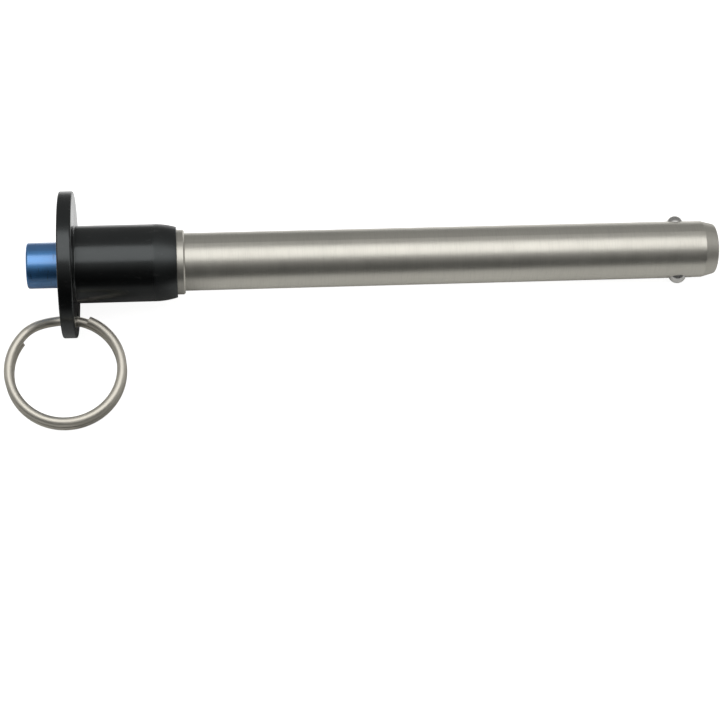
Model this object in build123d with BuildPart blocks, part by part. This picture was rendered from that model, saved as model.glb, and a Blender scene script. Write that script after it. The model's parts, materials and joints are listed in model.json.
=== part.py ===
"""Ball lock pin with a button handle and a split ring, lying on a flat surface.

The origin is the centre of the shoulder face, where the grip length starts. Stations are
distances along the pin from that face, positive towards the ball end. The flange rim, the
nose of the shank and the split ring all touch the surface that the pin lies on.
"""

import os
from math import asin, atan2, cos, hypot, pi, radians, sin, sqrt, tan

from build123d import *

os.makedirs("parts", exist_ok=True)

# ---------------------------------------------------------------- driving dimensions, mm
# Shank
SHANK_D = 12.66  # ground a little under half an inch
GRIP_LENGTH = 107.95  # four and a quarter inches, shoulder to balls
NOSE_LENGTH = 7.3  # end of the grip to the lead-in chamfer
NOSE_RELIEF = 0.10  # taken off the diameter along the nose
LEAD_IN_LENGTH = 3.0
NOSE_END_D = 11.0
NOSE_EDGE_R = 0.4
COLLAR_D = 14.2
COLLAR_WIDTH = 1.7
COLLAR_CHAMFER = 0.3
TAIL_D = 11.96  # the part of the shank inside the handle
TAIL_LENGTH = 8.8
TAIL_CHAMFER = 0.3
SWAGE_GROOVE_WIDTH = 1.1
SWAGE_GROOVE_DEPTH = 0.5
SWAGE_GROOVE_SETBACK = 0.8  # collar to groove
# Locking balls
BALL_D = 3.969  # five thirty-seconds of an inch
BALL_PROUD = 1.27  # stands above the shank
BALL_ANGLE = 59.0  # degrees from straight down
STAKE_RING_GAP = 0.45  # ball hole to the ring left by the staking punch
STAKE_RING_WIDTH = 0.35
STAKE_RING_DEPTH = 0.15
# Handle
FLANGE_D = 32.0
FLANGE_THICKNESS = 3.1
FLANGE_EDGE_R = 0.4
BARREL_D = 16.9
BARREL_LENGTH = 22.0
BARREL_ROOT_R = 0.3
ROLLED_NOSE_LENGTH = 4.8
ROLLED_NOSE_END_D = 15.45
ROLLED_EDGE_R = 0.2
BUTTON_LIP = 2.3  # thickness of the wall that keeps the button in
MOUTH_CHAMFER = 0.3
RING_HOLE_D = 3.6
RING_HOLE_RADIUS = 12.3  # pin axis to hole centre
RING_HOLE_ANGLE = 44.5  # degrees from straight down
RING_HOLE_CHAMFER = 0.25
# Button
BUTTON_D = 10.0
BUTTON_PROUD = 7.3
BUTTON_EDGE_R = 0.5
SKIRT_THICKNESS = 2.0
SPIGOT_D = 4.5  # end of the spindle pressed into the button
SPIGOT_LENGTH = 5.0
# Spindle
RAMP_ANGLE = 18.0  # degrees, lets the balls down as the button goes in
FRONT_LAND = 1.2  # past the balls
NECK_FLAT = 1.5
SPINDLE_CHAMFER = 0.4
# Return spring
SPRING_WIRE_D = 0.9
SPRING_MEAN_D = 9.6
SPRING_ACTIVE_TURNS = 3.5
SPRING_END_TURNS = 1.0  # closed turns at each end
SPRING_POINTS_A_TURN = 12
# Split ring
RING_OUTER_D = 26.3
RING_WIRE_D = 2.1
RING_SINGLE_ARC = 78.0  # degrees where only one turn lies
RING_END_TO_HOLE = 20.0  # degrees from the upper wire end to the flange
RING_HOLE_TO_JOG = 10.0  # degrees from the flange's hole to the jog between turns
RING_JOG_TO_END = 6.0  # degrees from the jog to the lower wire end
RING_JOG_POINTS = 9
RING_SKEW = 5.0  # degrees off square to the flange, as it lies

# ------------------------------------------------------------------------ clearances, mm
SPINDLE_CLEARANCE = 0.05  # radial, spindle in the shank
BALL_CLEARANCE = 0.04  # radial, ball in its pocket
BALL_SINK = 0.03  # released ball below the shank surface
NECK_CLEARANCE = 0.12  # released ball above the neck
BUTTON_CLEARANCE = 0.10  # radial, button in the handle
TAIL_CLEARANCE = 0.02  # radial, shank in the handle
SWAGE_CLEARANCE = 0.10  # rolled lip in its groove
SPIGOT_CLEARANCE = 0.01  # radial, spigot in the button
SPIGOT_END_GAP = 0.5
STOP_GAP = 0.05  # at each flat stop
BORE_END_GAP = 0.4  # pressed spindle to the bottom of the bore
RING_TURN_GAP = 0.05
SWING_TOLERANCE = 1e-6  # degrees, for the ring's rest on the surface

# ------------------------------------------------------------------------- derived sizes
shank_r = SHANK_D / 2
nose_r = shank_r - NOSE_RELIEF / 2
nose_end_r = NOSE_END_D / 2
collar_r = COLLAR_D / 2
tail_r = TAIL_D / 2
ball_r = BALL_D / 2
flange_r = FLANGE_D / 2
barrel_r = BARREL_D / 2
button_r = BUTTON_D / 2
spigot_r = SPIGOT_D / 2
wire_r = RING_WIRE_D / 2

ball_centre_r = shank_r + BALL_PROUD - ball_r
ball_retract = BALL_PROUD + BALL_SINK
stroke = ball_retract / tan(radians(RAMP_ANGLE))
pocket_r = ball_r + BALL_CLEARANCE
land_r = ball_centre_r - ball_r / cos(radians(RAMP_ANGLE))
neck_r = ball_centre_r - ball_retract - ball_r - NECK_CLEARANCE
bore_r = land_r + SPINDLE_CLEARANCE
handle_bore_r = tail_r + TAIL_CLEARANCE
skirt_r = handle_bore_r - BUTTON_CLEARANCE
groove_r = tail_r - SWAGE_GROOVE_DEPTH

ball_station = GRIP_LENGTH + sqrt(ball_r**2 - (shank_r - ball_centre_r) ** 2)
nose_start = GRIP_LENGTH + NOSE_LENGTH
tip = nose_start + LEAD_IN_LENGTH
bore_end = ball_station + FRONT_LAND + stroke + BORE_END_GAP
barrel_end = -COLLAR_WIDTH
groove_end = barrel_end - SWAGE_GROOVE_SETBACK
groove_start = groove_end - SWAGE_GROOVE_WIDTH
tail_end = barrel_end - TAIL_LENGTH
flange_back = barrel_end - BARREL_LENGTH
flange_front = flange_back - FLANGE_THICKNESS
lip_back = flange_front + BUTTON_LIP
button_end = flange_front - BUTTON_PROUD
skirt_front = lip_back + STOP_GAP
skirt_back = skirt_front + SKIRT_THICKNESS
ramp_foot = ball_station - (land_r - neck_r) / tan(radians(RAMP_ANGLE))
neck_start = ramp_foot - NECK_FLAT
rod_front = neck_start - (land_r - neck_r)

# The pin leans until its flange rim and the edge of its nose both touch the surface.
rim_reach = flange_r - FLANGE_EDGE_R - nose_r
rim_run = nose_start - flange_back + FLANGE_EDGE_R
lean = atan2(rim_reach, rim_run) + asin(FLANGE_EDGE_R / hypot(rim_reach, rim_run))
axis_height = nose_start * sin(lean) + nose_r * cos(lean)  # of the origin, over the surface

# In side, x runs along the pin, y points up and z points sideways out of the pin.
side = Plane(origin=(0, 0, 0), x_dir=(cos(lean), 0, -sin(lean)), z_dir=(0, -1, 0))
pin_axis = Axis(side.origin, side.x_dir)


def outward(angle):
    """The direction square to the pin, at an angle from straight down towards side.z_dir."""
    return side.z_dir * sin(radians(angle)) - side.y_dir * cos(radians(angle))


def on_axis(station):
    """The point on the pin's centre line at a station."""
    return side.from_local_coords((station, 0, 0))


def corner(section, station, radius):
    """The vertex of a half section that lies nearest to a station and radius."""
    return section.vertices().sort_by_distance((station, radius))[0]


# --------------------------------------------------------------------------------- shank
with BuildPart() as shank:
    with BuildSketch(side) as section:
        with BuildLine():
            Polyline(
                (tail_end, bore_r),
                (tail_end, tail_r),
                (groove_start, tail_r),
                (groove_start, groove_r),
                (groove_end, groove_r),
                (groove_end, tail_r),
                (barrel_end, tail_r),
                (barrel_end, collar_r),
                (0, collar_r),
                (0, shank_r),
                (GRIP_LENGTH, shank_r),
                (nose_start, nose_r),
                (tip, nose_end_r),
                (tip, 0),
                (bore_end, 0),
                (bore_end, bore_r),
                close=True,
            )
        make_face()
        chamfer(corner(section, tail_end, tail_r), TAIL_CHAMFER)
        chamfer(corner(section, 0, collar_r), COLLAR_CHAMFER)
        fillet(corner(section, tip, nose_end_r), NOSE_EDGE_R)
    revolve(axis=pin_axis)

    for way in (1, -1):
        ball_line = outward(BALL_ANGLE) * way

        # A ball pocket is straight up to the ball's centre and closes over it as a dome.
        pocket = Plane(on_axis(ball_station), x_dir=side.x_dir, z_dir=side.x_dir.cross(ball_line))
        with BuildSketch(pocket):
            with BuildLine():
                Polyline(
                    (0, ball_centre_r + pocket_r),
                    (0, 0),
                    (pocket_r, 0),
                    (pocket_r, ball_centre_r),
                )
                CenterArc((0, ball_centre_r), pocket_r, 0, 90)
            make_face()
        revolve(axis=Axis(pocket.origin, ball_line), mode=Mode.SUBTRACT)

        # The flat ring of the staking punch bites before and behind the pocket.
        stake = Plane(
            pocket.origin + ball_line * (shank_r - STAKE_RING_DEPTH),
            x_dir=side.x_dir,
            z_dir=ball_line,
        )
        with BuildSketch(stake):
            Circle(pocket_r + STAKE_RING_GAP + STAKE_RING_WIDTH)
            Circle(pocket_r + STAKE_RING_GAP, mode=Mode.SUBTRACT)
        extrude(amount=BALL_PROUD, mode=Mode.SUBTRACT)
shank.part.label = "shank"
export_step(shank.part, "parts/shank.step")

# -------------------------------------------------------------------------------- handle
with BuildPart() as handle:
    with BuildSketch(side) as section:
        nose_arc_start = barrel_end - ROLLED_NOSE_LENGTH
        lip_r = button_r + BUTTON_CLEARANCE
        rolled_lip_r = groove_r + SWAGE_CLEARANCE
        rolled_lip_start = groove_start + SWAGE_CLEARANCE
        rolled_lip_end = groove_end - SWAGE_CLEARANCE
        with BuildLine():
            Polyline(
                (nose_arc_start, barrel_r),
                (flange_back, barrel_r),
                (flange_back, flange_r),
                (flange_front, flange_r),
                (flange_front, lip_r),
                (lip_back, lip_r),
                (lip_back, handle_bore_r),
                (rolled_lip_start, handle_bore_r),
                (rolled_lip_start, rolled_lip_r),
                (rolled_lip_end, rolled_lip_r),
                (rolled_lip_end, handle_bore_r),
                (barrel_end, handle_bore_r),
                (barrel_end, ROLLED_NOSE_END_D / 2),
            )
            TangentArc(
                (nose_arc_start, barrel_r), (barrel_end, ROLLED_NOSE_END_D / 2), tangent=(1, 0)
            )
        make_face()
        fillet(corner(section, flange_back, barrel_r), BARREL_ROOT_R)
        fillet(corner(section, flange_back, flange_r), FLANGE_EDGE_R)
        fillet(corner(section, flange_front, flange_r), FLANGE_EDGE_R)
        chamfer(corner(section, flange_front, lip_r), MOUTH_CHAMFER)
        fillet(corner(section, barrel_end, ROLLED_NOSE_END_D / 2), ROLLED_EDGE_R)
    revolve(axis=pin_axis)

    # The ring hole is cut with a chamfer at both mouths.
    hole_line = outward(RING_HOLE_ANGLE)
    with BuildSketch(Plane(on_axis(0), x_dir=side.x_dir, z_dir=side.x_dir.cross(hole_line))):
        hole_r = RING_HOLE_D / 2
        with BuildLine():
            Polyline(
                (flange_front, RING_HOLE_RADIUS),
                (flange_front, RING_HOLE_RADIUS + hole_r + RING_HOLE_CHAMFER),
                (flange_front + RING_HOLE_CHAMFER, RING_HOLE_RADIUS + hole_r),
                (flange_back - RING_HOLE_CHAMFER, RING_HOLE_RADIUS + hole_r),
                (flange_back, RING_HOLE_RADIUS + hole_r + RING_HOLE_CHAMFER),
                (flange_back, RING_HOLE_RADIUS),
                close=True,
            )
        make_face()
    revolve(axis=Axis(on_axis(0) + hole_line * RING_HOLE_RADIUS, side.x_dir), mode=Mode.SUBTRACT)
handle.part.label = "handle"
export_step(handle.part, "parts/handle.step")

# -------------------------------------------------------------------------------- button
spigot_end = skirt_back - SPIGOT_LENGTH
with BuildPart() as button:
    with BuildSketch(side) as section:
        with BuildLine():
            Polyline(
                (button_end, 0),
                (button_end, button_r),
                (skirt_front, button_r),
                (skirt_front, skirt_r),
                (skirt_back, skirt_r),
                (skirt_back, spigot_r + SPIGOT_CLEARANCE),
                (spigot_end - SPIGOT_END_GAP, spigot_r + SPIGOT_CLEARANCE),
                (spigot_end - SPIGOT_END_GAP, 0),
                close=True,
            )
        make_face()
        fillet(corner(section, button_end, button_r), BUTTON_EDGE_R)
    revolve(axis=pin_axis)
button.part.label = "button"
export_step(button.part, "parts/button.step")

# ------------------------------------------------------------------------------- spindle
spindle_front = ball_station + FRONT_LAND
with BuildPart() as spindle:
    with BuildSketch(side) as section:
        with BuildLine():
            Polyline(
                (spigot_end, 0),
                (spigot_end, spigot_r),
                (skirt_back, spigot_r),
                (skirt_back, land_r),
                (rod_front, land_r),
                (neck_start, neck_r),
                (ramp_foot, neck_r),
                (ball_station, land_r),
                (spindle_front, land_r),
                (spindle_front, 0),
                close=True,
            )
        make_face()
        chamfer(corner(section, spigot_end, spigot_r), SPINDLE_CHAMFER)
        chamfer(corner(section, spindle_front, land_r), SPINDLE_CHAMFER)
    revolve(axis=pin_axis)
spindle.part.label = "spindle"
export_step(spindle.part, "parts/spindle.step")

# ------------------------------------------------------------------------- locking balls
for name, way in (("locking_ball_front", 1), ("locking_ball_rear", -1)):
    with BuildPart() as ball:
        with Locations(on_axis(ball_station) + outward(BALL_ANGLE) * way * ball_centre_r):
            Sphere(ball_r)
    ball.part.label = name
    export_step(ball.part, f"parts/{name}.step")

# ------------------------------------------------------------------------- return spring
# The closed end turns rise by one wire each, the active turns share what is left, and the
# outer half of each end wire is ground away to a flat seat.
spring_start = skirt_back + STOP_GAP
spring_end = tail_end - STOP_GAP
spring_turns = SPRING_ACTIVE_TURNS + 2 * SPRING_END_TURNS


def spring_rise(turn):
    """How far up its length the spring's wire is after so many turns."""
    length = spring_end - spring_start
    closed = SPRING_WIRE_D * SPRING_END_TURNS
    if turn <= SPRING_END_TURNS:
        return SPRING_WIRE_D * turn
    if turn >= spring_turns - SPRING_END_TURNS:
        return length - SPRING_WIRE_D * (spring_turns - turn)
    share = (turn - SPRING_END_TURNS) / SPRING_ACTIVE_TURNS
    return closed + (length - 2 * closed) * share


with BuildPart() as return_spring:
    with BuildLine(side) as coil:
        count = round(spring_turns * SPRING_POINTS_A_TURN)
        points = []
        for i in range(count + 1):
            turn = spring_turns * i / count
            around = 2 * pi * turn
            points.append(
                (
                    spring_start + spring_rise(turn),
                    SPRING_MEAN_D / 2 * cos(around),
                    SPRING_MEAN_D / 2 * sin(around),
                )
            )
        Spline(points)
    with BuildSketch(Plane(origin=coil.line @ 0, z_dir=coil.line % 0)):
        Circle(SPRING_WIRE_D / 2)
    sweep()
    for station, keep in ((spring_start, Keep.TOP), (spring_end, Keep.BOTTOM)):
        split(bisect_by=Plane(on_axis(station), z_dir=side.x_dir), keep=keep)
return_spring.part.label = "return_spring"
export_step(return_spring.part, "parts/return_spring.step")

# ---------------------------------------------------------------------------- split ring
# The wire lies in two flat turns, and steps from one to the other just past the flange's hole.
ring_mean_r = RING_OUTER_D / 2 - wire_r
turn_height = (RING_WIRE_D + RING_TURN_GAP) / 2  # of each turn, from the ring's middle
upper_end = 90 - RING_END_TO_HOLE  # degrees round the ring, where 90 is the flange's hole
lower_end = upper_end + RING_SINGLE_ARC
jog_start = 90 + RING_HOLE_TO_JOG
jog_end = lower_end - RING_JOG_TO_END


def jog_height(angle):
    """How high the wire lies where it steps from the lower turn to the upper one."""
    return -turn_height * cos(pi * (angle - jog_start) / (jog_end - jog_start))


def ring_frame(swing):
    """The ring's plane when it hangs at an angle from straight down, with its hole end fixed."""
    reach = outward(swing)
    normal = side.x_dir.cross(reach * -1)
    across = side.x_dir * cos(radians(RING_SKEW)) + reach * sin(radians(RING_SKEW))
    centre = (
        on_axis((flange_front + flange_back) / 2)
        + outward(RING_HOLE_ANGLE) * RING_HOLE_RADIUS
        - normal.cross(across) * ring_mean_r
        + normal * turn_height
    )
    return Plane(origin=centre, x_dir=across, z_dir=normal)


def ring_height(swing):
    """How far the lowest point of the ring is above the surface."""
    frame = ring_frame(swing)
    drop = ring_mean_r * hypot(frame.x_dir.Z, frame.y_dir.Z) + wire_r
    return frame.origin.Z - turn_height * frame.z_dir.Z - drop + axis_height


# The ring drops until it meets the surface, found by halving the swing that is left.
low_swing = RING_HOLE_ANGLE
high_swing = 90.0  # level
while high_swing - low_swing > SWING_TOLERANCE:
    middle = (low_swing + high_swing) / 2
    if ring_height(middle) > 0:
        high_swing = middle
    else:
        low_swing = middle
ring_plane = ring_frame(high_swing)
ring_centre_line = Axis(ring_plane.origin, ring_plane.z_dir)

with BuildPart() as split_ring:
    for height, start, end in (
        (turn_height, jog_end, upper_end),
        (-turn_height, lower_end, jog_start),
    ):
        radial = ring_plane.x_dir * cos(radians(start)) + ring_plane.y_dir * sin(radians(start))
        section = Plane(ring_plane.origin, x_dir=radial, z_dir=radial.cross(ring_plane.z_dir))
        with BuildSketch(section):
            with Locations((ring_mean_r, height)):
                Circle(wire_r)
        revolve(axis=ring_centre_line, revolution_arc=360 + end - start)
    # A vector is taken in the row's frame, so the jog leaves each turn along its wire.
    ends = [
        ring_plane.y_dir * cos(radians(angle)) - ring_plane.x_dir * sin(radians(angle))
        for angle in (jog_start, jog_end)
    ]
    with BuildLine(ring_plane) as jog:
        points = []
        for i in range(RING_JOG_POINTS):
            angle = jog_start + (jog_end - jog_start) * i / (RING_JOG_POINTS - 1)
            points.append(
                (
                    ring_mean_r * cos(radians(angle)),
                    ring_mean_r * sin(radians(angle)),
                    jog_height(angle),
                )
            )
        Spline(points, tangents=ends)
    with BuildSketch(Plane(origin=jog.line @ 0, z_dir=jog.line % 0)):
        Circle(wire_r)
    sweep()
split_ring.part.label = "split_ring"
export_step(split_ring.part, "parts/split_ring.step")
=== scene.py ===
"""Ball lock pin: the finishes of its parts, its return spring, and the studio it lies in."""

import json
import math

import bpy
import numpy as np
from mathutils import Matrix, Vector


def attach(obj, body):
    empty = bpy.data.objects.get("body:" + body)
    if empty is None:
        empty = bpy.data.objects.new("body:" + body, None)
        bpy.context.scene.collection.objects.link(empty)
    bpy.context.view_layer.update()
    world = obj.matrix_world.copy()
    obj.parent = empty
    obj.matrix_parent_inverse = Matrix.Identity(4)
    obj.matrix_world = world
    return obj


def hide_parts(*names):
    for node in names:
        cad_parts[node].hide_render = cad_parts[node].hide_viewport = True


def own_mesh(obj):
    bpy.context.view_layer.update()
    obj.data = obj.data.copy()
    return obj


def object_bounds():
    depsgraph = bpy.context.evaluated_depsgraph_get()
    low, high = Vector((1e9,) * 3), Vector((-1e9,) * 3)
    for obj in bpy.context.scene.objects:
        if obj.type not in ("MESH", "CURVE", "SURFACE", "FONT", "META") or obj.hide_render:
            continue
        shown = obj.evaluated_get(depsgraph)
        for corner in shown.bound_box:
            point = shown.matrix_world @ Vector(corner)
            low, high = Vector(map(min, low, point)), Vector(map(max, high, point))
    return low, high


bl_info = {
    "name": "Ball Lock Pin",
    "version": (1, 0, 0),
    "blender": (4, 5, 0),
    "location": "View3D > Sidebar > Ball Lock Pin",
    "description": "Finishes a ball lock pin, winds its return spring and sets it in a studio",
    "category": "Object",
}

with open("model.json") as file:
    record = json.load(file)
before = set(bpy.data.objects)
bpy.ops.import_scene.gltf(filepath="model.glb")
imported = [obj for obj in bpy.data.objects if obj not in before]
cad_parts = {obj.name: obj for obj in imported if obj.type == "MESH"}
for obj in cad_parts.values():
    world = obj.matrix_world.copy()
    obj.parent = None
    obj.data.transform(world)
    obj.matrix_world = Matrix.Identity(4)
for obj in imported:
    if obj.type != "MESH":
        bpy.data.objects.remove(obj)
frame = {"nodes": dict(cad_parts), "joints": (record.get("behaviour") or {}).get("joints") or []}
CAD_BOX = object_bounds()
JOINTS = {joint["name"]: joint for joint in frame["joints"]}
PRESS = JOINTS["button_press"]

# The pin's centre line runs through the origin, the middle of its shoulder.
PIN_AXIS = Vector(PRESS["axis"]).normalized()
if PIN_AXIS.x < 0:
    PIN_AXIS.negate()
LEAN = math.asin(-PIN_AXIS.z)

MICRON = 0.000001  # the depth of a finish is given in these
WELD = 0.001  # vertices nearer than this share of the wire are merged

# Lengths on the pin, in metres
LEAD_IN_LENGTH = 0.003  # the turned chamfer at the tip
LEAD_IN_BLEND = 0.0001  # either side of where the chamfer starts
ROLLED_NOSE_BLEND = (0.0055, 0.0043)  # before the handle's end, where its nose turns duller

# Painted shade on the floor, seen only where the pin mirrors it, in metres from the pin's
# shoulder.
# Each pair says where a change starts and where it ends: y behind the pin, x along it.
FRONT_FADE = (-0.078, -0.030)  # y, dark in front to light
PIN_FADE = (0.004, 0.014)  # y, the painted dark patch of shade before the handle ends behind the pin
PATCH_RIGHT = (-0.004, 0.006)  # x, from the dark patch to the light beside the shank
PATCH_LEFT = (-0.021, -0.026)  # x, from the dark patch to the light beside the button
FAR_FADE = (0.050, 0.120)  # y, light to dim
PATCH_SHARE = 0.35  # of the light, left in the dark patch
LEFT_SHARE = 0.6  # of the light, beside the button
FAR_SHARE = 0.25  # of the light, at a distance
FLOOR_DARK = (0.05, 0.05, 0.05)  # its mirrored colour in the deepest painted shade, where it gives no light
FLOOR_LIGHT = (0.94, 0.94, 0.93)  # its mirrored colour where it gives all of it
FLOOR_GLOW = 0.9  # in the camera's own view, so that the floor stays plain
MIRRORED_PAINTED_GLOW = 0.6  # painted light: the floor's glow in the pin's reflections, behind the pin
FLOOR_GAP = 0.00002  # between the floor and what rests on it

# The softbox, in metres or as shares of its height
LAMP_ALONG = 0.10
LAMP_WIDTH = 0.90
LAMP_DEPTH_SHARE = 0.842
LAMP_FRONT_SHARE = 0.193
LAMP_TURN = math.radians(-6)

# The sky, by how far round it lies from the horizon in front, over the top, to the one behind
SKY_STOPS = (
    (0.0, 0.015),
    (0.14, 0.04),
    (0.21, 0.12),
    (0.27, 0.26),
    (0.60, 0.30),
    (0.72, 0.26),
    (1.0, 0.22),
)
SKY_BLUE_SHARE = 0.985  # blue in the sky's grey, which makes it a little warm


def node_points(node):
    """The vertices of a CAD node, one row each."""
    return np.array([vertex.co for vertex in frame["nodes"][node].data.vertices], float)


def stations(node):
    """How far along the pin from the shoulder a CAD node starts and ends."""
    along = node_points(node) @ np.array(PIN_AXIS)
    return float(along.min()), float(along.max())


def reach(node):
    """The largest distance of a CAD node from the pin's centre line."""
    points = node_points(node)
    along = points @ np.array(PIN_AXIS)
    across = points - np.outer(along, np.array(PIN_AXIS))
    return float(np.sqrt((across**2).sum(1)).max())


def ring_space():
    """The turn that lays the split ring flat on its own axes, and its centre."""
    points = node_points("split_ring")
    mean = points.mean(0)
    centre = (mean + (points.min(0) + points.max(0)) / 2) / 2
    directions = np.linalg.eigh(np.cov((points - mean).T))[1]
    normal = Vector(directions[:, 0]).normalized()
    if normal.z < 0:
        normal.negate()
    across = PIN_AXIS - normal * PIN_AXIS.dot(normal)
    across.normalize()
    turn = Matrix((across, normal.cross(across), normal))
    return turn, Vector(centre)


# ------------------------------------------------------------------------------ settings
class PinFinish(bpy.types.PropertyGroup):
    """Colours and finishes of the pin's parts."""

    shank_colour: bpy.props.FloatVectorProperty(
        name="Shank",
        description="Ground stainless steel of the shank",
        subtype="COLOR",
        size=3,
        min=0,
        max=1,
        default=(0.68, 0.659, 0.595),
    )
    handle_colour: bpy.props.FloatVectorProperty(
        name="Handle",
        description="Black anodised aluminium of the handle",
        subtype="COLOR",
        size=3,
        min=0,
        max=1,
        default=(0.0022, 0.0025, 0.0025),
    )
    button_colour: bpy.props.FloatVectorProperty(
        name="Button",
        description="Blue anodised aluminium of the button",
        subtype="COLOR",
        size=3,
        min=0,
        max=1,
        default=(0.07, 0.32, 0.76),
    )
    ring_colour: bpy.props.FloatVectorProperty(
        name="Split ring",
        description="Drawn stainless wire of the split ring",
        subtype="COLOR",
        size=3,
        min=0,
        max=1,
        default=(0.85, 0.81, 0.715),
    )
    ball_colour: bpy.props.FloatVectorProperty(
        name="Locking balls",
        description="Polished steel of the locking balls",
        subtype="COLOR",
        size=3,
        min=0,
        max=1,
        default=(0.68, 0.67, 0.65),
    )
    line_spacing: bpy.props.FloatProperty(
        name="Tool line spacing",
        description="Distance between the fine lines that the lathe and the wheel leave",
        subtype="DISTANCE",
        default=0.00016,
        min=0.00002,
    )


class PinSpring(bpy.types.PropertyGroup):
    """Sizes of the return spring."""

    wire: bpy.props.FloatProperty(
        name="Wire",
        description="Diameter of the spring wire",
        subtype="DISTANCE",
        default=0.0009,
        min=0.0001,
    )
    active_turns: bpy.props.FloatProperty(
        name="Active turns",
        description="Turns that close up as the button is pressed",
        default=3.5,
        min=1,
    )
    stroke: bpy.props.FloatProperty(
        name="Stroke",
        description="How far the button presses the spring together",
        subtype="DISTANCE",
        default=PRESS["range_m"][1],
    )
    sides: bpy.props.IntProperty(
        name="Sides",
        description="Corners round the wire",
        default=16,
        min=6,
    )
    steps: bpy.props.IntProperty(
        name="Steps",
        description="Steps in one turn of the wire",
        default=48,
        min=12,
    )


class PinStage(bpy.types.PropertyGroup):
    """Floor, softbox and camera."""

    floor_size: bpy.props.FloatProperty(
        name="Floor",
        description="Side of the square floor",
        subtype="DISTANCE",
        default=8.0,
    )
    floor_colour: bpy.props.FloatVectorProperty(
        name="Floor colour",
        description="Colour of the plain pale floor",
        subtype="COLOR",
        size=3,
        min=0,
        max=1,
        default=(0.72, 0.72, 0.71),
    )
    lamp_height: bpy.props.FloatProperty(
        name="Lamp height",
        description="Height of the overhead softbox above the floor",
        subtype="DISTANCE",
        default=0.6,
    )
    lamp_power: bpy.props.FloatProperty(
        name="Lamp power",
        description="Power of the overhead softbox",
        default=1.80,
    )
    camera_place: bpy.props.FloatVectorProperty(
        name="Camera place",
        description="Where the camera stands",
        subtype="TRANSLATION",
        size=3,
        default=(0.022409, -0.254845, 0.318427),
    )
    camera_turn: bpy.props.FloatVectorProperty(
        name="Camera turn",
        description="How the camera is turned",
        subtype="EULER",
        size=3,
        default=(math.radians(35.3220), math.radians(0.6958), math.radians(-4.4804)),
    )
    camera_lens: bpy.props.FloatProperty(
        name="Lens",
        description="Focal length of the camera in millimetres",
        default=92.673,
    )


# ------------------------------------------------------------------------- shader helpers
def new_material(name):
    """A material with nothing but its output and its main shader."""
    material = bpy.data.materials.new(name)
    material.use_nodes = True
    tree = material.node_tree
    tree.nodes.clear()
    output = tree.nodes.new("ShaderNodeOutputMaterial")
    shader = tree.nodes.new("ShaderNodeBsdfPrincipled")
    tree.links.new(shader.outputs["BSDF"], output.inputs["Surface"])
    return material, tree, shader


def add_node(tree, kind, inputs=None, **settings):
    """Adds a node, sets its properties, and links or sets its inputs."""
    node = tree.nodes.new(kind)
    for name, value in settings.items():
        setattr(node, name, value)
    for key, value in (inputs or {}).items():
        if isinstance(value, bpy.types.NodeSocket):
            tree.links.new(value, node.inputs[key])
        else:
            node.inputs[key].default_value = value
    return node


def calc(tree, operation, a, b=0.0):
    """The output of a Math node."""
    return add_node(tree, "ShaderNodeMath", {0: a, 1: b}, operation=operation).outputs[0]


def span(tree, value, low, high, out_low=0.0, out_high=1.0):
    """Maps a value smoothly from one range to another, and holds it at the ends."""
    node = add_node(
        tree,
        "ShaderNodeMapRange",
        {
            "Value": value,
            "From Min": low,
            "From Max": high,
            "To Min": out_low,
            "To Max": out_high,
        },
        interpolation_type="SMOOTHSTEP",
    )
    return node.outputs["Result"]


def spread(tree, noise, low=0.0, high=1.0):
    """Maps noise, which seldom leaves the middle of its range, from one value to another."""
    return span(tree, noise, 0.3, 0.7, low, high)


def object_space(tree, turn, centre):
    """Object coordinates turned and moved onto a part's own axes."""
    place = add_node(tree, "ShaderNodeTexCoord").outputs["Object"]
    node = add_node(
        tree,
        "ShaderNodeMapping",
        {"Vector": place, "Location": turn @ -centre, "Rotation": turn.to_euler("XYZ")},
        vector_type="POINT",
    )
    return node.outputs["Vector"]


def round_space(tree, place, axis):
    """The distance along an axis, the distance from it, and the unit direction round it."""
    parts = add_node(tree, "ShaderNodeSeparateXYZ", {"Vector": place}).outputs
    along = parts[axis]
    one, two = [parts[i] for i in range(3) if i != axis]
    square = calc(tree, "ADD", calc(tree, "MULTIPLY", one, one), calc(tree, "MULTIPLY", two, two))
    # The radius is held at a micron or more, so that the division works on the axis too.
    radius = calc(tree, "SQRT", calc(tree, "MAXIMUM", square, MICRON**2))
    return along, radius, calc(tree, "DIVIDE", one, radius), calc(tree, "DIVIDE", two, radius)


def pin_space(tree):
    """Station, radius and direction round the pin's centre line."""
    turn = Matrix.Rotation(-LEAN, 3, "Y")
    place = object_space(tree, turn, Vector((0, 0, 0)))
    return place, round_space(tree, place, axis=0)


def round_noise(tree, space, fine, round_scale, detail=2.0, roughness=0.5):
    """Noise that is fine across the tool lines and long round the axis, with no seam."""
    along, radius, one, two = space
    vector = add_node(
        tree,
        "ShaderNodeCombineXYZ",
        {
            0: calc(tree, "MULTIPLY", along, fine),
            1: calc(tree, "MULTIPLY", radius, fine),
            2: calc(tree, "MULTIPLY", one, round_scale),
        },
    ).outputs[0]
    noise = add_node(
        tree,
        "ShaderNodeTexNoise",
        {
            "Vector": vector,
            "W": calc(tree, "MULTIPLY", two, round_scale),
            "Scale": 1.0,
            "Detail": detail,
            "Roughness": roughness,
        },
        noise_dimensions="4D",
    )
    return noise.outputs["Fac"]


def cloud(tree, place, scale, stretch=(1, 1, 1), detail=3.0):
    """Plain noise, stretched along the axes."""
    vector = add_node(
        tree, "ShaderNodeMapping", {"Vector": place, "Scale": stretch}, vector_type="POINT"
    ).outputs["Vector"]
    noise = add_node(
        tree, "ShaderNodeTexNoise", {"Vector": vector, "Scale": scale, "Detail": detail}
    )
    return noise.outputs["Fac"]


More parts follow.
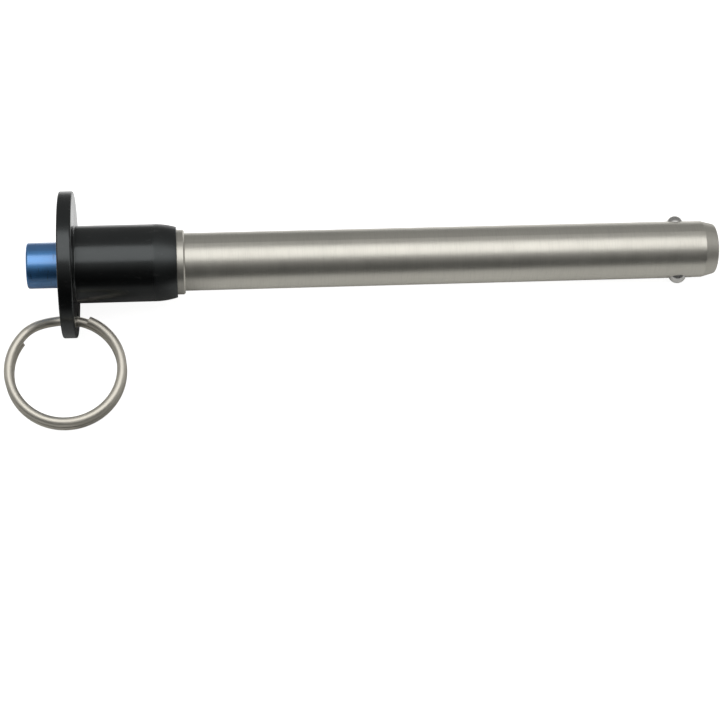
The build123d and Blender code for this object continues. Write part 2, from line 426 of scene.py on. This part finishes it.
def blend_colours(tree, share, one, two):
    """The mix of two colours by a share."""
    node = add_node(tree, "ShaderNodeMix", {"Factor": share}, data_type="RGBA")
    for socket, value in ((node.inputs[6], one), (node.inputs[7], two)):
        if isinstance(value, bpy.types.NodeSocket):
            tree.links.new(value, socket)
        else:
            socket.default_value = (*value[:3], 1.0)
    return node.outputs[2]


def shaded(colour, factor):
    """A colour made lighter or darker."""
    return tuple(min(1.0, part * factor) for part in colour)


def mottle(tree, noise, colour, darkest, lightest):
    """A colour that noise makes uneven, between two shades of itself."""
    return blend_colours(
        tree, spread(tree, noise), shaded(colour, darkest), shaded(colour, lightest)
    )


def mark(tree, colour, where, strength, tint):
    """Lays a tint over a colour at the places that a value picks out."""
    return blend_colours(tree, calc(tree, "MULTIPLY", where, strength), colour, tint)


def bump(tree, shader, height, depth):
    """Raises a surface by a height, of so many metres at most."""
    node = add_node(
        tree, "ShaderNodeBump", {"Height": height, "Distance": depth, "Strength": 1.0}
    )
    tree.links.new(node.outputs["Normal"], shader.inputs["Normal"])


def seen_plainly(tree):
    """One in the camera's own view, straight or through glass, and the kinds of ray."""
    rays = add_node(tree, "ShaderNodeLightPath").outputs
    return calc(tree, "MAXIMUM", rays["Is Camera Ray"], rays["Is Transmission Ray"]), rays


def set_inputs(tree, shader, **values):
    """Sets or links inputs of a shader, given by their names with _ for a space."""
    for name, value in values.items():
        socket = shader.inputs[name.replace("_", " ")]
        if isinstance(value, bpy.types.NodeSocket):
            tree.links.new(value, socket)
        else:
            socket.default_value = value


def dress(node, material):
    """Gives a CAD node its material."""
    mesh = frame["nodes"][node].data
    if mesh.materials:
        for index in range(len(mesh.materials)):
            mesh.materials[index] = material
    else:
        mesh.materials.append(material)


# ---------------------------------------------------------------------- shared operators
class PinOperator:
    """What the pin's operators have in common."""

    bl_options = {"REGISTER", "UNDO"}


def drop_selection():
    """Leaves nothing selected."""
    if bpy.context.object and bpy.context.object.mode != "OBJECT":
        bpy.ops.object.mode_set(mode="OBJECT")
    bpy.ops.object.select_all(action="DESELECT")


# --------------------------------------------------------------------------------- shank
class FinishShank(PinOperator, bpy.types.Operator):
    """Gives the shank its ground steel, with a turned lead-in at the nose"""

    bl_idname = "ball_lock_pin.finish_shank"
    bl_label = "Finish shank"

    def execute(self, context):
        finish = context.scene.pin_finish
        material, tree, shader = new_material("shank_steel")
        place, space = pin_space(tree)
        lines = round_noise(
            tree, space, fine=1 / finish.line_spacing, round_scale=2.0, detail=3.0, roughness=0.6
        )
        bands = round_noise(tree, space, fine=420.0, round_scale=1.2)
        haze = cloud(tree, place, scale=60.0, stretch=(0.35, 1, 1))
        grooves = span(tree, lines, 0.45, 0.7)
        lead_in = stations("shank")[1] - LEAD_IN_LENGTH
        turned = span(tree, space[0], lead_in - LEAD_IN_BLEND, lead_in + LEAD_IN_BLEND)
        light = finish.shank_colour[:]
        colour = mottle(tree, haze, light, darkest=0.95, lightest=1.04)
        colour = mark(tree, colour, grooves, strength=0.18, tint=shaded(light, 0.6))
        colour = mark(tree, colour, turned, strength=0.55, tint=shaded(light, 0.90))
        rough = spread(tree, bands, low=0.34, high=0.38)
        rough = calc(tree, "ADD", rough, calc(tree, "MULTIPLY", turned, 0.12))
        set_inputs(tree, shader, Base_Color=colour, Metallic=0.88, Roughness=rough)
        bump(tree, shader, lines, depth=2.4 * MICRON)
        dress("shank", material)
        return {"FINISHED"}


# -------------------------------------------------------------------------------- handle
class FinishHandle(PinOperator, bpy.types.Operator):
    """Gives the handle its bright turned and black anodised aluminium"""

    bl_idname = "ball_lock_pin.finish_handle"
    bl_label = "Finish handle"

    def execute(self, context):
        finish = context.scene.pin_finish
        material, tree, shader = new_material("handle_black")
        place, space = pin_space(tree)
        lines = round_noise(
            tree, space, fine=0.6 / finish.line_spacing, round_scale=1.5, roughness=0.6
        )
        haze = cloud(tree, place, scale=140.0)
        dust = span(
            tree, cloud(tree, place, scale=1500.0, stretch=(0.25, 1, 1), detail=4.0), 0.62, 0.72
        )
        dark = finish.handle_colour[:]
        colour = blend_colours(tree, span(tree, haze, 0.35, 0.7), dark, shaded(dark, 1.5))
        colour = mark(tree, colour, dust, strength=0.45, tint=(0.045, 0.045, 0.045))
        end = stations("handle")[1]
        starts, ends = [end - length for length in ROLLED_NOSE_BLEND]
        duller = span(tree, space[0], starts, ends, out_high=0.14)
        rough = calc(tree, "ADD", spread(tree, haze, low=0.20, high=0.25), duller)
        set_inputs(tree, shader, Base_Color=colour, Metallic=0.0, Roughness=rough)
        set_inputs(tree, shader, IOR=1.72, Specular_Tint=(0.93, 0.99, 1.0, 1.0))
        bump(tree, shader, lines, depth=2.2 * MICRON)
        dress("handle", material)
        return {"FINISHED"}


# -------------------------------------------------------------------------------- button
class FinishButton(PinOperator, bpy.types.Operator):
    """Gives the button its bright turned and blue anodised aluminium"""

    bl_idname = "ball_lock_pin.finish_button"
    bl_label = "Finish button"

    def execute(self, context):
        finish = context.scene.pin_finish
        material, tree, shader = new_material("button_blue")
        place, space = pin_space(tree)
        lines = round_noise(
            tree, space, fine=0.5 / finish.line_spacing, round_scale=1.5, roughness=0.6
        )
        haze = cloud(tree, place, scale=260.0)
        scuffs = span(
            tree, cloud(tree, place, scale=2200.0, stretch=(1, 0.16, 0.16)), 0.62, 0.70
        )
        blue = finish.button_colour[:]
        colour = mottle(tree, haze, blue, darkest=0.92, lightest=1.05)
        colour = mark(tree, colour, scuffs, strength=0.55, tint=shaded(blue, 0.45))
        rough = spread(tree, haze, low=0.40, high=0.46)
        set_inputs(tree, shader, Base_Color=colour, Metallic=1.0, Roughness=rough)
        shader.inputs["Coat Weight"].default_value = 1.0
        shader.inputs["Coat Roughness"].default_value = 0.22
        shader.inputs["Coat IOR"].default_value = 2.0
        bump(tree, shader, lines, depth=1.2 * MICRON)
        dress("button", material)
        return {"FINISHED"}


# --------------------------------------------------------------------- spindle and balls
class FinishLock(PinOperator, bpy.types.Operator):
    """Gives the spindle its ground steel and the locking balls their soft polish"""

    bl_idname = "ball_lock_pin.finish_lock"
    bl_label = "Finish spindle and balls"

    def execute(self, context):
        finish = context.scene.pin_finish
        light = finish.ball_colour[:]

        material, tree, shader = new_material("ball_polished")
        place = add_node(tree, "ShaderNodeTexCoord").outputs["Object"]
        haze = cloud(tree, place, scale=900.0)
        colour = mottle(tree, haze, light, darkest=0.93, lightest=1.05)
        rough = spread(tree, cloud(tree, place, scale=3000.0), low=0.20, high=0.28)
        set_inputs(tree, shader, Base_Color=colour, Metallic=0.9, Roughness=rough)
        bump(tree, shader, haze, depth=MICRON)
        dress("locking_ball_front", material)
        dress("locking_ball_rear", material)

        material, tree, shader = new_material("spindle_ground")
        space = pin_space(tree)[1]
        lines = round_noise(
            tree, space, fine=1 / finish.line_spacing, round_scale=2.0, detail=3.0, roughness=0.6
        )
        colour = mottle(tree, lines, light, darkest=0.80, lightest=0.92)
        rough = spread(tree, lines, low=0.20, high=0.30)
        set_inputs(tree, shader, Base_Color=colour, Metallic=1.0, Roughness=rough)
        bump(tree, shader, lines, depth=1.5 * MICRON)
        dress("spindle", material)
        return {"FINISHED"}


# ----------------------------------------------------------------------------- split ring
class FinishRing(PinOperator, bpy.types.Operator):
    """Gives the split ring its drawn wire, with the die's lines along the wire"""

    bl_idname = "ball_lock_pin.finish_ring"
    bl_label = "Finish split ring"

    def execute(self, context):
        finish = context.scene.pin_finish
        material, tree, shader = new_material("ring_wire")
        place = object_space(tree, *ring_space())
        space = round_space(tree, place, axis=2)
        lines = round_noise(tree, space, fine=9000.0, round_scale=3.0, roughness=0.6)
        haze = cloud(tree, place, scale=220.0)
        grooves = span(tree, lines, 0.5, 0.72)
        light = finish.ring_colour[:]
        colour = mottle(tree, haze, light, darkest=0.92, lightest=1.05)
        colour = mark(tree, colour, grooves, strength=0.22, tint=shaded(light, 0.45))
        rough = spread(tree, haze, low=0.42, high=0.50)
        set_inputs(tree, shader, Base_Color=colour, Metallic=0.86, Roughness=rough)
        bump(tree, shader, lines, depth=3 * MICRON)
        dress("split_ring", material)
        return {"FINISHED"}


# -------------------------------------------------------------------------- return spring
def wind_wire(station, rise, turns, radius, side, settings):
    """Winds part of the spring from a round section, and leaves it as the active object."""
    drop_selection()
    bpy.ops.mesh.primitive_circle_add(
        vertices=settings.sides,
        radius=settings.wire / 2,
        fill_type="NOTHING",
        location=(station, 0, side * radius),
        rotation=(math.pi / 2, 0, 0),
    )
    wire = bpy.context.object
    bpy.ops.object.transform_apply(location=True, rotation=True, scale=True)
    screw = wire.modifiers.new("Winding", "SCREW")
    screw.axis = "X"
    screw.angle = 2 * math.pi * turns
    screw.screw_offset = rise
    screw.steps = screw.render_steps = round(settings.steps * turns)
    screw.use_merge_vertices = False
    screw.use_smooth_shade = True
    bpy.ops.object.modifier_apply(modifier=screw.name)
    return wire


def grind_ends(start, end, weld):
    """Cuts the active object flat at both stations, closes the cuts and turns its faces out."""
    bpy.ops.object.mode_set(mode="EDIT")
    bpy.ops.mesh.select_all(action="SELECT")
    bpy.ops.mesh.remove_doubles(threshold=weld)
    for station, inward in ((start, 1), (end, -1)):
        bpy.ops.mesh.select_all(action="SELECT")
        # Bisect spares what lies within its threshold of the cut, so that is kept small.
        bpy.ops.mesh.bisect(
            plane_co=(station, 0, 0),
            plane_no=(inward, 0, 0),
            use_fill=False,
            clear_inner=True,
            threshold=weld,
        )
    bpy.ops.mesh.select_all(action="DESELECT")
    bpy.ops.mesh.select_mode(type="EDGE")
    bpy.ops.mesh.select_non_manifold()
    bpy.ops.mesh.fill_holes(sides=0)
    bpy.ops.mesh.select_all(action="SELECT")
    bpy.ops.mesh.normals_make_consistent(inside=False)
    bpy.ops.object.mode_set(mode="OBJECT")


class WindSpring(PinOperator, bpy.types.Operator):
    """Winds the return spring, with its end turns closed and ground flat"""

    bl_idname = "ball_lock_pin.wind_spring"
    bl_label = "Wind return spring"

    def execute(self, context):
        settings = context.scene.pin_spring
        wire = settings.wire
        start, end = stations("return_spring")
        radius = reach("return_spring") - wire / 2
        active_rise = end - start - 2 * wire
        parts = [
            wind_wire(start, wire, 1, radius, 1, settings),
            wind_wire(start + wire, active_rise, settings.active_turns, radius, 1, settings),
            wind_wire(end - wire, wire, 1, radius, -1, settings),
        ]
        drop_selection()
        for part in parts:
            part.select_set(True)
        spring = parts[0]
        context.view_layer.objects.active = spring
        bpy.ops.object.join()
        spring.name = spring.data.name = "return_spring_wire"
        grind_ends(start, end, wire * WELD)
        spring.rotation_euler = (0, LEAN, 0)
        bpy.ops.object.transform_apply(location=True, rotation=True, scale=True)
        bpy.ops.object.shade_smooth_by_angle(angle=math.radians(40))

        material, tree, shader = new_material("spring_wire")
        space = pin_space(tree)[1]
        lines = round_noise(tree, space, fine=12000.0, round_scale=3.0, roughness=0.6)
        light = shaded(context.scene.pin_finish.ring_colour[:], 0.85)
        colour = mottle(tree, lines, light, darkest=0.85, lightest=1.0)
        rough = spread(tree, lines, low=0.25, high=0.35)
        set_inputs(tree, shader, Base_Color=colour, Metallic=1.0, Roughness=rough)
        bump(tree, shader, lines, depth=2 * MICRON)
        spring.data.materials.append(material)
        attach(spring, "pin_body")
        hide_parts("return_spring")
        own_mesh(spring)
        return {"FINISHED"}


# --------------------------------------------------------------------------------- stage
def studio_world(world):
    """A sky dark low in front and grey overhead and behind, plain white to the camera."""
    world.use_nodes = True
    tree = world.node_tree
    tree.nodes.clear()
    output = tree.nodes.new("ShaderNodeOutputWorld")
    direction = add_node(tree, "ShaderNodeTexCoord").outputs["Generated"]
    parts = add_node(tree, "ShaderNodeSeparateXYZ", {"Vector": direction}).outputs
    front = calc(tree, "MULTIPLY", parts[1], -1.0)
    angle = calc(tree, "ARCTAN2", parts[2], front)
    share = calc(tree, "DIVIDE", angle, math.pi)
    ramp = add_node(tree, "ShaderNodeValToRGB", {"Fac": share})
    ramp.color_ramp.interpolation = "EASE"
    elements = ramp.color_ramp.elements
    while len(elements) < len(SKY_STOPS):
        elements.new(0.5)
    for element, (position, grey) in zip(elements, SKY_STOPS):
        element.position = position
        element.color = (grey, grey, grey * SKY_BLUE_SHARE, 1.0)
    plain = seen_plainly(tree)[0]
    colour = blend_colours(tree, plain, ramp.outputs["Color"], (1.0, 1.0, 1.0))
    background = add_node(tree, "ShaderNodeBackground", {"Color": colour, "Strength": 1.0})
    tree.links.new(background.outputs[0], output.inputs["Surface"])


def floor_material(pale):
    """A pale floor that the camera sees plainly, and that the pin mirrors with painted shade and
    a painted glow.
    """
    material, tree, shader = new_material("floor_white")
    place = add_node(tree, "ShaderNodeTexCoord").outputs["Object"]
    haze = cloud(tree, place, scale=90.0)
    colour = blend_colours(tree, haze, pale, shaded(pale, 1.01))
    plain, rays = seen_plainly(tree)
    along, across = add_node(tree, "ShaderNodeSeparateXYZ", {"Vector": place}).outputs[:2]
    # Painted shade in the pin's reflections: dark in front of the pin, a dark patch beside the
    # handle, and dimmer far behind.
    near = span(tree, across, *FRONT_FADE)
    behind = span(tree, across, *PIN_FADE)
    right = span(tree, along, *PATCH_RIGHT, out_low=PATCH_SHARE)
    left = span(tree, along, *PATCH_LEFT, out_high=LEFT_SHARE)
    beside = calc(tree, "MAXIMUM", calc(tree, "MAXIMUM", behind, right), left)
    far = span(tree, across, *FAR_FADE, out_low=1.0, out_high=FAR_SHARE)
    light = calc(tree, "MULTIPLY", calc(tree, "MULTIPLY", near, beside), far)
    mirrored = blend_colours(tree, light, FLOOR_DARK, FLOOR_LIGHT)
    colour = blend_colours(tree, plain, mirrored, colour)
    # Painted light: behind the pin, the floor glows in the pin's reflections but not in the
    # camera's own view.
    painted_glow_share = calc(tree, "MULTIPLY", calc(tree, "MULTIPLY", rays["Is Glossy Ray"], behind), far)
    seen = calc(tree, "MULTIPLY", plain, FLOOR_GLOW)
    glow = calc(tree, "MAXIMUM", seen, calc(tree, "MULTIPLY", painted_glow_share, MIRRORED_PAINTED_GLOW))
    set_inputs(tree, shader, Base_Color=colour, Roughness=0.9, Emission_Strength=glow)
    shader.inputs["Specular IOR Level"].default_value = 0.0
    shader.inputs["Emission Color"].default_value = (1.0, 1.0, 1.0, 1.0)
    return material


class SetStage(PinOperator, bpy.types.Operator):
    """Lays the floor, hangs the softbox and places the camera"""

    bl_idname = "ball_lock_pin.set_stage"
    bl_label = "Set stage"

    def execute(self, context):
        stage = context.scene.pin_stage
        drop_selection()
        low, high = CAD_BOX
        middle = (low + high) / 2
        bpy.ops.mesh.primitive_plane_add(
            size=stage.floor_size, location=(middle.x, middle.y, low.z - FLOOR_GAP)
        )
        floor = context.object
        floor.name = floor.data.name = "floor"
        bpy.ops.object.transform_apply(location=True, rotation=True, scale=True)
        floor.data.materials.append(floor_material(stage.floor_colour[:]))

        height = stage.lamp_height
        bpy.ops.object.light_add(
            type="AREA",
            location=(LAMP_ALONG, -LAMP_FRONT_SHARE * height, low.z + height),
            rotation=(0, 0, LAMP_TURN),
        )
        lamp = context.object
        lamp.name = "softbox"
        lamp.data.shape = "RECTANGLE"
        lamp.data.size = LAMP_WIDTH
        lamp.data.size_y = LAMP_DEPTH_SHARE * height
        lamp.data.energy = stage.lamp_power
        world = bpy.data.worlds.new("studio")
        context.scene.world = world
        studio_world(world)

        bpy.ops.object.camera_add(location=stage.camera_place, rotation=stage.camera_turn)
        camera = context.object
        camera.name = "camera"
        camera.data.lens = stage.camera_lens
        camera.data.sensor_width = 36.0
        camera.data.clip_start = 0.01
        camera.data.clip_end = 50.0
        camera.data.dof.use_dof = False
        context.scene.camera = camera
        context.scene.view_settings.view_transform = "Standard"
        return {"FINISHED"}


# --------------------------------------------------------------------------------- panel
STEPS = (FinishShank, FinishHandle, FinishButton, FinishLock, FinishRing, WindSpring, SetStage)
GROUPS = {"pin_finish": PinFinish, "pin_spring": PinSpring, "pin_stage": PinStage}


class PinPanel(bpy.types.Panel):
    """Lists the steps and settings of the ball lock pin"""

    bl_idname = "VIEW3D_PT_ball_lock_pin"
    bl_label = "Ball Lock Pin"
    bl_space_type = "VIEW_3D"
    bl_region_type = "UI"
    bl_category = "Ball Lock Pin"

    def draw(self, context):
        for step in STEPS:
            self.layout.operator(step.bl_idname)
        for name, group in GROUPS.items():
            box = self.layout.box()
            for setting in group.__annotations__:
                box.prop(getattr(context.scene, name), setting)


def register():
    for group in GROUPS.values():
        bpy.utils.register_class(group)
    for step in STEPS:
        bpy.utils.register_class(step)
    bpy.utils.register_class(PinPanel)
    for name, group in GROUPS.items():
        setattr(bpy.types.Scene, name, bpy.props.PointerProperty(type=group))


def unregister():
    for name in GROUPS:
        delattr(bpy.types.Scene, name)
    bpy.utils.unregister_class(PinPanel)
    for step in reversed(STEPS):
        bpy.utils.unregister_class(step)
    for group in reversed(GROUPS.values()):
        bpy.utils.unregister_class(group)


def main():
    """Runs every step in order."""
    register()
    bpy.ops.ball_lock_pin.finish_shank()
    bpy.ops.ball_lock_pin.finish_handle()
    bpy.ops.ball_lock_pin.finish_button()
    bpy.ops.ball_lock_pin.finish_lock()
    bpy.ops.ball_lock_pin.finish_ring()
    bpy.ops.ball_lock_pin.wind_spring()
    bpy.ops.ball_lock_pin.set_stage()


if __name__ == "__main__":
    main()
